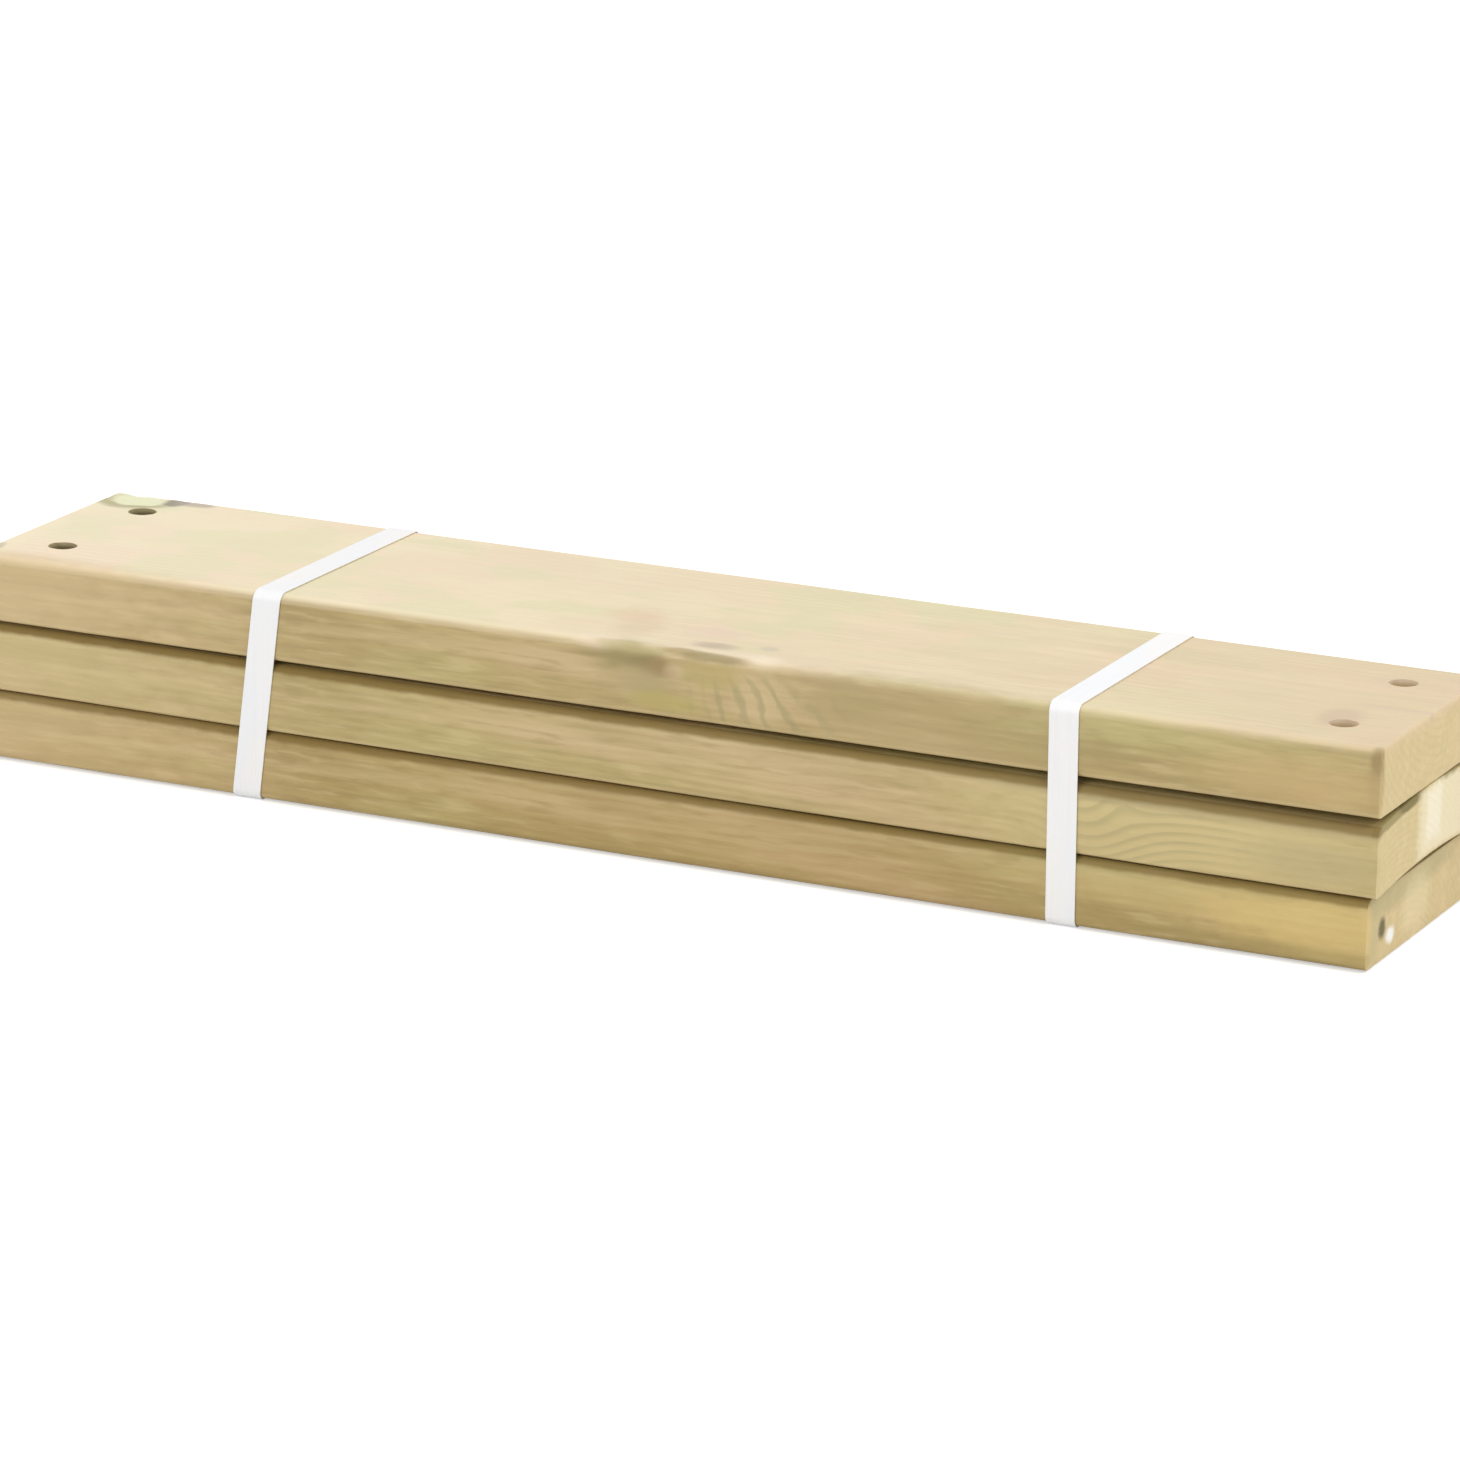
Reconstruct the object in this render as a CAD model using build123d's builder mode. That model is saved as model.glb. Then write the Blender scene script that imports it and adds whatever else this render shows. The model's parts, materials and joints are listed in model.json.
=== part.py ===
"""A strapped bundle of three planed pine planks with bolt holes drilled near their ends.

The planks lie flat on each other, along X, and two plastic straps hold them together. The
bundle stands on the undersides of its straps, with the origin on the floor below its middle.
All sizes are in millimetres.
"""

from build123d import *

import os
from math import atan, cos, radians, sin, tan

# Planks
plank_length = 600
plank_width = 120
plank_thickness = 28
arris_radius = 3.5  # planed rounding of the four long edges

# The middle plank has cupped, with its crown up and more at its right end
cup_left = 0.6
cup_right = 3.4

# How far each plank has slipped along the bundle
bottom_slip = -1.4
middle_slip = 1.4
top_slip = 0.9

# Bolt holes, four in each plank
hole_diameter = 11
hole_from_end = 25
hole_from_edge = 27
drill_overrun = 5  # how far the drill goes on past the plank's far side

# Straps
strap_width = 12
strap_thickness = 0.6
left_strap_from_end = 133  # measured on the top face, from the left end
right_strap_from_end = 127  # measured on the top face, from the right end
left_strap_lean = 5.8  # degrees; its underside lies further left than its top
right_strap_lean = -1.1

# The weld of each strap, on the back of the bundle
weld_length = 30
tail_length = 9
tail_lift = 0.8
left_weld_height = 47  # of the weld's lower end above the floor
right_weld_height = 41

# Clearances
seat_clearance = 0.05  # between one plank and the next
strap_clearance = 0.1  # between the straps and the wood

# Places that follow from the sizes above
hole_pitch_along = plank_length - 2 * hole_from_end
hole_pitch_across = plank_width - 2 * hole_from_edge
drill_depth = plank_thickness + cup_right + drill_overrun
stack_y = -(strap_thickness + tail_lift) / 2  # the welds stand out behind, so the wood is further forward
bottom_base = strap_thickness + strap_clearance
middle_base = bottom_base + plank_thickness + seat_clearance
crown_slope = (cup_right - cup_left) / plank_length
crown_tilt = atan(crown_slope)


def crown_height(x):
    """Height above the floor of the middle plank's crown."""
    cup = (cup_left + cup_right) / 2 + crown_slope * (x - middle_slip)
    return middle_base + plank_thickness + cup


def stack_height(x):
    """Height above the floor of the top plank's upper face."""
    return crown_height(x) + seat_clearance + plank_thickness / cos(crown_tilt)


def upright(x, base):
    """The YZ plane moved to x, with its own origin on the stack's middle line at the base's height."""
    return Plane((x, stack_y, base), x_dir=(0, 1, 0), z_dir=(1, 0, 0))


def flat_profile(plane):
    """End of a flat plank, standing on the plane's x axis."""
    with BuildSketch(plane) as profile:
        Rectangle(plank_width, plank_thickness, align=(Align.CENTER, Align.MIN))
        fillet(profile.vertices(), arris_radius)
    return profile.sketch


def cupped_profile(plane, cup):
    """End of a plank whose two faces bow up by the cup between its edges."""
    edge = plank_width / 2
    with BuildSketch(plane) as profile:
        with BuildLine():
            ThreePointArc((-edge, 0), (0, cup), (edge, 0))
            Line((edge, 0), (edge, plank_thickness))
            ThreePointArc((edge, plank_thickness), (0, plank_thickness + cup), (-edge, plank_thickness))
            Line((-edge, plank_thickness), (-edge, 0))
        make_face()
        fillet(profile.vertices(), arris_radius)
    return profile.sketch


def drill_bolt_holes(upper_face):
    """Drill a plank's four holes square through it, from the plane of its upper face."""
    with Locations(upper_face):
        with GridLocations(hole_pitch_along, hole_pitch_across, 2, 2):
            Hole(hole_diameter / 2, depth=drill_depth)


def save(piece, name):
    """Name a finished piece and write it."""
    piece.part.label = name
    export_step(piece.part, f"parts/{name}.step")


os.makedirs("parts", exist_ok=True)

# Bottom plank, flat and level
with BuildPart() as plank_bottom:
    extrude(flat_profile(upright(bottom_slip, bottom_base)), amount=plank_length / 2, both=True)
    drill_bolt_holes(Plane((bottom_slip, stack_y, bottom_base + plank_thickness)))
save(plank_bottom, "plank_bottom")

# Middle plank, resting on its two lower edges, with the cup growing from left to right
with BuildPart() as plank_middle:
    left_end = cupped_profile(upright(middle_slip - plank_length / 2, middle_base), cup_left)
    right_end = cupped_profile(upright(middle_slip + plank_length / 2, middle_base), cup_right)
    loft([left_end, right_end], ruled=True)
    drill_bolt_holes(Plane((middle_slip, stack_y, crown_height(middle_slip))))
save(plank_middle, "plank_middle")

# Top plank, flat, resting on the middle plank's crown and so tilted a little about Y
top_base = crown_height(top_slip) + seat_clearance
top_along = Vector(cos(crown_tilt), 0, sin(crown_tilt))
top_normal = Vector(-sin(crown_tilt), 0, cos(crown_tilt))
top_underside = Vector(top_slip, stack_y, top_base)
with BuildPart() as plank_top:
    extrude(flat_profile(Plane(top_underside, x_dir=(0, 1, 0), z_dir=top_along)),
            amount=plank_length / 2, both=True)
    drill_bolt_holes(Plane(top_underside + top_normal * plank_thickness, x_dir=top_along, z_dir=top_normal))
save(plank_top, "plank_top")


def weld_outline(face_y, low):
    """The strap's outer end, welded on the loop's back face above a loose tail."""
    tip = low - tail_length
    return [
        (face_y, low + weld_length),
        (face_y + strap_thickness, low + weld_length),
        (face_y + strap_thickness, low),
        (face_y + strap_thickness + tail_lift, tip),
        (face_y + tail_lift, tip),
        (face_y, low),
    ]


def make_strap(top_x, lean, weld_height):
    """A closed loop pulled tight round the planks, in a plane that leans from the upright."""
    inside_width = plank_width + 2 * strap_clearance
    inside_top = stack_height(top_x + strap_width) + strap_clearance
    inside_height = inside_top - strap_thickness
    inside_radius = arris_radius + strap_clearance
    middle = (stack_y, strap_thickness + inside_height / 2)
    back_face = stack_y + inside_width / 2 + strap_thickness
    reach = strap_width + inside_top * abs(tan(radians(lean)))
    with BuildPart() as strap:
        with BuildSketch(Plane.YZ.offset(top_x)):
            with Locations(middle):
                RectangleRounded(inside_width + 2 * strap_thickness, inside_height + 2 * strap_thickness,
                                 inside_radius + strap_thickness)
            Polygon(*weld_outline(back_face, weld_height), align=None)
            with Locations(middle):
                RectangleRounded(inside_width, inside_height, inside_radius, mode=Mode.SUBTRACT)
        extrude(amount=reach, both=True)
        normal = Vector(cos(radians(lean)), 0, -sin(radians(lean)))
        with BuildSketch(Plane((top_x, stack_y, inside_top), x_dir=(0, 1, 0), z_dir=normal)):
            Rectangle(2 * plank_width, 4 * inside_top)
        extrude(amount=strap_width / 2, both=True, mode=Mode.INTERSECT)
    return strap


# Straps
plank_left_end = top_slip - plank_length / 2
plank_right_end = top_slip + plank_length / 2
strap_left = make_strap(plank_left_end + left_strap_from_end, left_strap_lean, left_weld_height)
save(strap_left, "strap_left")
strap_right = make_strap(plank_right_end - right_strap_from_end, right_strap_lean, right_weld_height)
save(strap_right, "strap_right")
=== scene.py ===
"""The looks of a strapped bundle of three pine planks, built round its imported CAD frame.

Each plank is a dense planed board with its growth rings, knots, sawn ends and drilled holes,
and each strap is an embossed plastic loop with a weld. Lengths are in metres.
"""

import json
from dataclasses import dataclass, field
from math import atan, cos, pi, radians, sin

import bmesh
import bpy
import numpy as np
from mathutils import Matrix, Vector


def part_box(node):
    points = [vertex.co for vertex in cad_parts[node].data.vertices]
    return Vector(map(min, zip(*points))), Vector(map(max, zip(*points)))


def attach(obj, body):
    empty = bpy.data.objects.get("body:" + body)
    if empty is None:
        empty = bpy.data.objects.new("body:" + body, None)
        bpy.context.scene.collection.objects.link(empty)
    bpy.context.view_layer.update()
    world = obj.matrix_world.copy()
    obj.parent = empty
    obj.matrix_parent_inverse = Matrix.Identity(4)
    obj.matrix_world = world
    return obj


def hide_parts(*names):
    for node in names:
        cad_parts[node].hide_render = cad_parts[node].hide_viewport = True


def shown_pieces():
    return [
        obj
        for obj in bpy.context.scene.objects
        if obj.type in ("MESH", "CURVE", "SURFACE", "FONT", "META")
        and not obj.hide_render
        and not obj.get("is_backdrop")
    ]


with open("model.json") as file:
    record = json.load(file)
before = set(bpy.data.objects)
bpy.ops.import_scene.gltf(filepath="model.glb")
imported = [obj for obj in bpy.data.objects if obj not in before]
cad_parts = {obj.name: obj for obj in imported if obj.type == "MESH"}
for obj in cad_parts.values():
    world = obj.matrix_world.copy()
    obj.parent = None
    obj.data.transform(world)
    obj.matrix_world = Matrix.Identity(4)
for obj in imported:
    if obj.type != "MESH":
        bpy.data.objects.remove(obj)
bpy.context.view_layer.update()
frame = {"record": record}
mm = 0.001

# Camera, fitted to the photograph
PHOTO_WIDTH = 1460  # pixels, and as high
SENSOR_WIDTH = 36  # millimetres, as Blender takes it
CAMERA_AZIMUTH = radians(24.35)
CAMERA_ELEVATION = radians(15.63)
CAMERA_ROLL = radians(1.52)
CAMERA_DISTANCE = 2.958
CAMERA_ASIDE = 0.0076  # how far the middle of the picture is right of the bundle's axis
CAMERA_BELOW = 0.0042
CAMERA_AIM_HEIGHT = 0.043
FOCAL_PIXELS = 7493
CLIP_END = 200

# Sizes that the frame gives
mounts = {mount["name"]: mount for mount in frame["record"]["mounts"]}
bottom_low, bottom_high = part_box("plank_bottom")
middle_low, middle_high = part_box("plank_middle")
top_low, top_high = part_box("plank_top")
LENGTH = bottom_high.x - bottom_low.x
WIDTH = bottom_high.y - bottom_low.y
THICKNESS = bottom_high.z - bottom_low.z
STACK_Y = (bottom_low.y + bottom_high.y) / 2
HOLES = mounts["bottom_plank_holes"]["dims"]
HOLE_RADIUS = HOLES["hole_r_mm"] * mm
HOLE_X = HOLES["spacing_x_mm"] * mm / 2
HOLE_Y = HOLES["spacing_y_mm"] * mm / 2

# Sizes that the CAD source names and the frame doesn't give directly
ARRIS = 3.5 * mm
SEAT = 0.05 * mm
STRAP_WIDTH = 12 * mm
STRAP_THICKNESS = 0.6 * mm
STRAP_CLEARANCE = 0.1 * mm
WELD_LENGTH = 30 * mm
TAIL_LENGTH = 9 * mm
TAIL_LIFT = 0.8 * mm

# Where a plank's faces lie, and where their flat parts end, from its own middle
FACE_Z = THICKNESS / 2
FLAT_Y = WIDTH / 2 - ARRIS
FLAT_Z = FACE_Z - ARRIS

# The top plank's tilt and the middle plank's cup
TILT = (top_high.z - top_low.z - THICKNESS) / LENGTH
MIDDLE_BASE = bottom_high.z + SEAT
CUP_RIGHT = middle_high.z - MIDDLE_BASE - THICKNESS
CUP_LEFT = CUP_RIGHT - TILT * LENGTH


@dataclass
class Knot:
    """A branch through a plank: its line, how far and how widely it bends the rings, and its radius.

    One without a radius only bends the rings.
    """

    at: tuple
    along: tuple
    lift: float
    reach: float
    radius: float = 0.0


@dataclass
class Stain:
    """A patch of another colour, in millimetres: an ellipsoid or a box, and how soft its edge is."""

    at: tuple
    size: tuple
    colour: tuple
    strength: float
    softness: float = 0.7
    boxy: bool = False


@dataclass
class Figure:
    """A place, in millimetres, where the growth rings show more than elsewhere."""

    at: tuple
    size: tuple
    strength: float


@dataclass
class Fan:
    """The rings of a steep branch just under a face: lines that spread from an apex, in millimetres."""

    apex_x: float
    apex_z: float
    first: float  # degrees from straight down
    step: float
    at: tuple
    size: tuple
    strength: float


@dataclass
class Chip:
    """A torn flake, in millimetres: an ellipsoid that is missing from the plank, and its depth."""

    at: tuple
    size: tuple
    depth: float


@dataclass
class Plank:
    """One plank, in its own axes: x along it, y across it, z up from its middle thickness."""

    name: str
    seed: int
    centre: tuple
    tilt: float
    cup: tuple
    pith: tuple
    ring: float
    early: tuple
    late: tuple
    # How strong the painted shade is on its upper arrises, under the plank above
    arris_shade: tuple = (0, 0)  # how dark its upper arrises are, at its left and right ends
    knots: list = field(default_factory=list)
    figures: list = field(default_factory=list)
    fans: list = field(default_factory=list)
    chips: list = field(default_factory=list)
    stains: list = field(default_factory=list)


def middle_of(low, high):
    return (low.x + high.x) / 2


BOTTOM = Plank(
    "plank_bottom", 11, (middle_of(bottom_low, bottom_high), STACK_Y, bottom_low.z + THICKNESS / 2),
    tilt=0, cup=(0, 0), pith=(-14 * mm, -44 * mm), ring=3.1 * mm,
    early=(0.45, 0.33, 0.126), late=(0.335, 0.23, 0.08), arris_shade=(0.75, 0.75),
    knots=[
        Knot((-118 * mm, 60 * mm, 1 * mm), (0.15, 1, 0.3), 9 * mm, 15 * mm, 8 * mm),
        Knot((92 * mm, 12 * mm, -14 * mm), (0.2, 0.3, 1), 10 * mm, 16 * mm, 10 * mm),
    ],
    stains=[
        Stain((-300, -60, 0), (110, 10, 30), (0.66, 0.50, 0.26), 0.55, 1.4),
        # Painted shade under the middle plank, on the upper part of the right end
        Stain((300, -20, 11), (4, 60, 7), (0.42, 0.36, 0.19), 0.5),
        Stain((300, -6, -1), (3, 15, 11), (0.84, 0.72, 0.44), 0.45, 1),
        Stain((300, -52, 1), (3, 8, 14), (0.50, 0.43, 0.22), 0.5, 1),
        Stain((300, -43, -1), (3, 3.4, 4.2), (0.13, 0.11, 0.05), 0.95, 0.9),
        Stain((300, -33.5, -6), (3, 4.6, 3), (0.95, 0.95, 0.90), 0.95, 0.9),
        Stain((215, -60, 3), (60, 5, 6), (0.62, 0.46, 0.19), 0.55, 1.2),
        Stain((285, -60, 2), (45, 5, 11), (0.72, 0.53, 0.20), 0.7, 1.2),
        Stain((280, -60, -10), (60, 5, 3), (0.40, 0.31, 0.11), 0.5, 1.2),
        Stain((50, -60, 0), (130, 8, 20), (0.41, 0.285, 0.09), 0.35, 1.4),
    ],
)
MIDDLE = Plank(
    "plank_middle", 23, (middle_of(middle_low, middle_high), STACK_Y, MIDDLE_BASE + THICKNESS / 2),
    tilt=0, cup=(CUP_LEFT, CUP_RIGHT), pith=(-30 * mm, -58 * mm), ring=3.0 * mm,
    early=(0.50, 0.395, 0.168), late=(0.375, 0.283, 0.11), arris_shade=(0.9, 0.7),
    knots=[
        Knot((184 * mm, -60 * mm, -12 * mm), (0.1, 1, -0.15), 9 * mm, 24 * mm),
        Knot((196 * mm, -60 * mm, 13 * mm), (0.1, 1, 0.1), -4 * mm, 10 * mm),
        Knot((66 * mm, 60 * mm, 3 * mm), (0.1, 1, -0.2), 8 * mm, 13 * mm, 6 * mm),
    ],
    figures=[Figure((203, -60, 0), (38, 14, 18), 0.34)],
    stains=[
        Stain((-300, -60, 0), (100, 10, 30), (0.66, 0.53, 0.27), 0.55, 1.4),
        Stain((218, -60, 0), (80, 6, 30), (0.66, 0.53, 0.255), 0.75, 1.2),
        # Painted shade of the top plank on the upper arris, growing to the right
        Stain((240, -60, 13), (120, 6, 4), (0.40, 0.31, 0.155), 0.6, 1),
        Stain((193, -60, 11), (15, 5, 2.6), (0.38, 0.30, 0.145), 0.4),
        Stain((275, -60, -3), (24, 5, 7), (0.44, 0.36, 0.175), 0.45, 1.2),
        # Painted shade in the gap under the top plank, at the top of the right end
        Stain((300, -37, 14.2), (3, 26, 3.4), (0.30, 0.24, 0.09), 0.85, 0.5, boxy=True),
        Stain((300, -26, 13.6), (3, 11, 2.8), (0.17, 0.135, 0.035), 0.75, 0.5),
        Stain((300, 18, 14), (3, 9, 2.2), (0.30, 0.25, 0.11), 0.7, 0.6),
        Stain((300, 25, 0), (3, 39, 13), (0.87, 0.775, 0.53), 0.8, 0.25, boxy=True),
        Stain((300, 2, 2), (3, 8, 10), (0.95, 0.89, 0.72), 0.6, 0.7, boxy=True),
        Stain((-300, 8, 1), (3, 34, 12), (0.84, 0.72, 0.48), 0.4, 1.2),
    ],
)
TOP = Plank(
    "plank_top", 37, (middle_of(top_low, top_high), STACK_Y, (top_low.z + top_high.z) / 2),
    tilt=TILT, cup=(0, 0), pith=(8 * mm, 46 * mm), ring=3.4 * mm,
    early=(0.488, 0.372, 0.158), late=(0.365, 0.267, 0.105),
    knots=[
        Knot((-3 * mm, -60 * mm, 5 * mm), (-0.5, 0.8, 0.2), 3 * mm, 9 * mm),
        Knot((22 * mm, -60 * mm, 26 * mm), (-0.3, 0.75, 0.45), 16 * mm, 34 * mm),
        Knot((-205 * mm, 60 * mm, -3 * mm), (0.2, 1, 0.2), 9 * mm, 15 * mm, 8 * mm),
    ],
    fans=[Fan(18, 44, 7, 8.2, (48, -60, -6), (30, 14, 12), 0.52)],
    chips=[Chip((-287, 50, 14), (11, 9, 4), 0.5), Chip((-266, 60, 12), (9, 2.5, 5), 0.4)],
    stains=[
        # Round the knots at the near arris
        Stain((-3, -60, 3), (17, 8, 10), (0.43, 0.34, 0.155), 0.65, 1.3),
        Stain((-12, -60, 9), (15, 5, 3.6), (0.29, 0.235, 0.09), 0.7, 1.3),
        Stain((1, -60, 6.5), (8, 4, 3.6), (0.28, 0.20, 0.08), 0.7, 1.3),
        Stain((-3, -60, 0), (9, 4, 5), (0.45, 0.35, 0.18), 0.5, 1.3),
        Stain((4, -60, 6.5), (3, 4, 3), (0.35, 0.225, 0.095), 0.45, 1.5),
        Stain((11, -60, 5.5), (4, 4, 3), (0.70, 0.54, 0.33), 0.45, 1.4),
        Stain((9, -60, 4.5), (3, 4, 1.5), (0.46, 0.28, 0.15), 0.4, 1.3),
        Stain((7, -60, -7), (15, 5, 3.6), (0.47, 0.39, 0.12), 0.65, 1),
        Stain((27, -60, 6), (13, 5, 6), (0.48, 0.385, 0.145), 0.7, 1),
        Stain((47, -60, -1), (11, 5, 10), (0.64, 0.49, 0.265), 0.5, 1.2),
        Stain((78, -60, 9.5), (14, 5, 2.6), (0.48, 0.35, 0.20), 0.5, 1),
        Stain((84, -60, 1), (18, 5, 8), (0.42, 0.33, 0.14), 0.6, 1.3),
        Stain((120, -60, 0), (50, 8, 20), (0.43, 0.335, 0.145), 0.5, 1.4),
        Stain((-24, -18, 14), (11, 10, 4), (0.76, 0.57, 0.385), 0.7, 1.3),
        Stain((-16, -34, 14), (9, 14, 4), (0.70, 0.53, 0.35), 0.55, 1.3),
        Stain((-22, -57, 13), (9, 4, 4), (0.88, 0.71, 0.53), 0.6, 1),
        Stain((14, -27, 14), (13, 6, 4), (0.76, 0.58, 0.45), 0.55, 1.2),
        Stain((21, -46, 14), (8, 4.5, 4), (0.46, 0.36, 0.265), 0.65, 1.3),
        Stain((42, -40, 14), (4, 3, 4), (0.52, 0.46, 0.37), 0.5, 1.2),
        Stain((-10, -59, 12.5), (13, 5, 2.6), (0.46, 0.39, 0.17), 0.6, 1),
        Stain((14, -58.4, 13.6), (8, 3.2, 2), (0.40, 0.30, 0.13), 0.75, 1),
        Stain((27, -58.8, 12.6), (14, 3, 1.9), (0.31, 0.24, 0.10), 0.75, 1),
        Stain((47, -55, 14), (6, 5, 4), (0.95, 0.84, 0.64), 0.45, 1.4),
        Stain((30, -53, 14), (14, 3, 3), (0.90, 0.78, 0.60), 0.25, 1.4),
        # The far left corner
        Stain((-287, 46, 14), (16, 11, 4), (0.40, 0.36, 0.17), 0.75, 0.5),
        Stain((-286, 50, 14), (12, 9, 4), (0.86, 0.86, 0.58), 0.95, 0.4),
        Stain((-270, 54, 14), (5, 7, 4), (0.24, 0.215, 0.165), 0.85, 0.7),
        Stain((-262, 55, 14), (8, 5.5, 4), (0.44, 0.37, 0.31), 0.75, 0.7),
        Stain((-298, -50, 14), (3, 9, 3), (0.45, 0.40, 0.30), 0.6),
        Stain((-300, -60, 0), (95, 10, 30), (0.69, 0.52, 0.28), 0.6, 1.4),
        # The right end
        Stain((271, -25, 14), (8, 13, 4), (0.50, 0.385, 0.265), 0.7, 0.9),
        Stain((273, 33, 14), (10, 8, 4), (0.58, 0.48, 0.34), 0.4, 1),
        Stain((290, -4, 14), (24, 2.5, 4), (0.55, 0.43, 0.31), 0.5),
        Stain((270, 0, 14), (80, 60, 4), (0.75, 0.555, 0.385), 0.45, 1.4),
        Stain((299, -60, 1), (4, 5, 13), (0.40, 0.285, 0.125), 0.6, 0.8),
        Stain((299, -60, 8.5), (3, 4, 5.5), (0.29, 0.20, 0.075), 0.55, 0.9),
        Stain((270, -60, -4), (38, 5, 9), (0.60, 0.42, 0.185), 0.6, 1.2),
    ],
)
PLANKS = [BOTTOM, MIDDLE, TOP]


# Fields that the meshes and the materials share

# Wavelengths along and across a plank, and the amplitude in millimetres
RIPPLES = [(0.52, 0.11, 1.6), (0.27, 0.16, 0.9), (0.15, 0.07, 0.5), (0.083, 0.05, 0.22)]


def ripples(seed):
    """Slow waves that bend a plank's rings: amplitude, wave vector and phase of each."""
    chance = np.random.default_rng(seed)
    waves = []
    for along, across, amplitude in RIPPLES:
        turn = chance.uniform(0, 2 * pi)
        vector = (2 * pi / along, 2 * pi / across * sin(turn), 2 * pi / across * cos(turn))
        waves.append((amplitude * mm, vector, chance.uniform(0, 2 * pi)))
    return waves


def unit(vector):
    return np.array(vector) / np.linalg.norm(vector)


def ring_depth(plank, points):
    """How far each point lies from the pith, with the waves and the knots, in ring widths."""
    y = points[:, 1] - plank.pith[0]
    z = points[:, 2] - plank.pith[1]
    depth = np.sqrt(y * y + z * z)
    for amplitude, vector, phase in ripples(plank.seed):
        depth += amplitude * np.sin(points @ np.array(vector) + phase)
    for knot in plank.knots:
        depth += knot.lift * np.exp(-((knot_distance(knot, points) / knot.reach) ** 2))
    return depth / plank.ring


def knot_distance(knot, points):
    away = points - np.array(knot.at)
    along = unit(knot.along)
    return np.linalg.norm(away - np.outer(away @ along, along), axis=1)


def ease(value, low, high):
    """0 below low, 1 above high, and smooth between."""
    share = np.clip((value - low) / (high - low), 0, 1)
    return share * share * (3 - 2 * share)


# Plank meshes

MERGE_DISTANCE = 0.01 * mm
PATCH = 9 * mm  # half the side of the square patch of mesh round each hole
RIM_RINGS = np.array([0, 0.14, 0.3, 0.5, 0.75, 1])  # from a hole's rim to the edge of its patch
HOLE_CELL = 1.5 * mm
SHOULDER_CELL = 1.2 * mm  # between the holes and the sawn ends
END_CELL = 0.6 * mm
ACROSS_CELL = 0.8 * mm
SIDE_ROWS = 27
WALL_ROWS = 25
ARRIS_ROWS = 7
EDGE_ROWS = 5  # on the sawn ends, from the flat part to the outline


def steps(places, sizes):
    """The stretches between places along a line, each cut into equal cells of about its size."""
    runs = []
    for low, high, size in zip(places, places[1:], sizes):
        count = max(1, round((high - low) / size))
        runs.append(np.linspace(low, high, count + 1))
    return runs


def sheet(points):
    """The vertices and quads of a grid of points."""
    rows, columns = points.shape[:2]
    index = np.arange(rows * columns).reshape(rows, columns)
    quads = np.stack([index[:-1, :-1], index[1:, :-1], index[1:, 1:], index[:-1, 1:]], -1)
    return points.reshape(-1, 3), quads.reshape(-1, 4)


def rectangle(u, v, place):
    """A sheet over the values u and v, put in space by the function place."""
    grid_u, grid_v = np.meshgrid(u, v, indexing="ij")
    return sheet(np.stack(place(grid_u, grid_v), -1))


def join(sheets):
    """One closed bmesh from sheets that share their edges."""
    vertices = np.concatenate([points for points, _ in sheets])
    starts = np.cumsum([0] + [len(points) for points, _ in sheets])
    quads = np.concatenate([quads + start for (_, quads), start in zip(sheets, starts)])
    mesh = bpy.data.meshes.new("join")
    mesh.from_pydata(vertices, [], quads.tolist())
    shape = bmesh.new()
    shape.from_mesh(mesh)
    bmesh.ops.remove_doubles(shape, verts=shape.verts, dist=MERGE_DISTANCE)
    bmesh.ops.recalc_face_normals(shape, faces=shape.faces)
    bpy.data.meshes.remove(mesh)
    return shape


def hole_patch(hole_x, hole_y, xs, ys, z):
    """The mesh between a hole's rim and the square patch round it."""
    low_x, high_x, low_y, high_y = xs[0], xs[-1], ys[0], ys[-1]
    sides = [
        [(x, low_y) for x in xs[:-1]],
        [(high_x, y) for y in ys[:-1]],
        [(x, high_y) for x in xs[:0:-1]],
        [(low_x, y) for y in ys[:0:-1]],
    ]
    square = np.array(sum(sides, []) + [(low_x, low_y)])
    centre = np.array([hole_x, hole_y])
    away = square - centre
    rim = centre + HOLE_RADIUS * away / np.linalg.norm(away, axis=1)[:, None]
    rings = rim + RIM_RINGS[:, None, None] * (square - rim)
    patch = np.concatenate([rings, np.full(rings.shape[:2] + (1,), z)], -1)
    return sheet(patch), rim


def arris_points(x, reach, turn, side_y, side_z):
    """Points at a reach and a turn about the axis of one of the four arrises."""
    return x, side_y * (FLAT_Y + reach * np.cos(turn)), side_z * (FLAT_Z + reach * np.sin(turn))


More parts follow.
